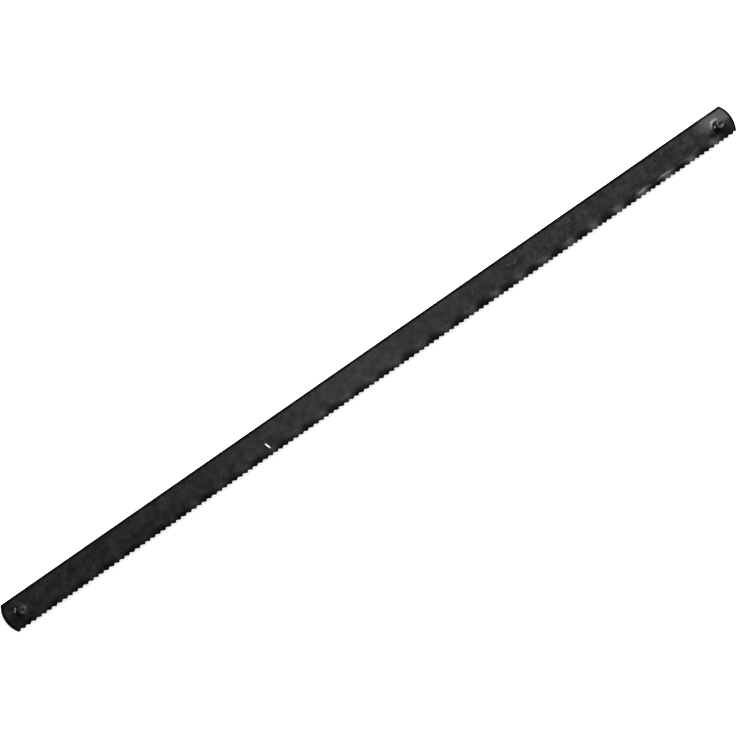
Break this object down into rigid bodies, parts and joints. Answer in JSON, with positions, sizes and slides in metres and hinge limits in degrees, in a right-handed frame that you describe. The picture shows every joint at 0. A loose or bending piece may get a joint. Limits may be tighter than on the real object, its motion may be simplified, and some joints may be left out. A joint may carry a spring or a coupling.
{
  "type": "pin-end hacksaw blade",
  "caption": "Narrow black steel saw blade with fine wavy-set teeth, rounded ends and a short cross pin near each end, for a junior or mini hacksaw frame.",
  "frame": {"origin": "midway between the two pins' axes, at mid width and mid thickness of the blade", "axes": "+X along the blade, the way the teeth cut; +Y from the teeth to the back edge; +Z through the thickness, along the pins"},
  "size_m": [0.1528, 0.0054, 0.005],
  "materials": {
    "blade_steel": "black heat-treated finish, satin, with fine scratches and worn specks",
    "pin_steel": "blackened steel, worn bright on the rims of its ends"
  },
  "bodies": {
    "root": {"blade": "blade_steel", "front_pin": "pin_steel", "rear_pin": "pin_steel"}
  },
  "joints": []
}
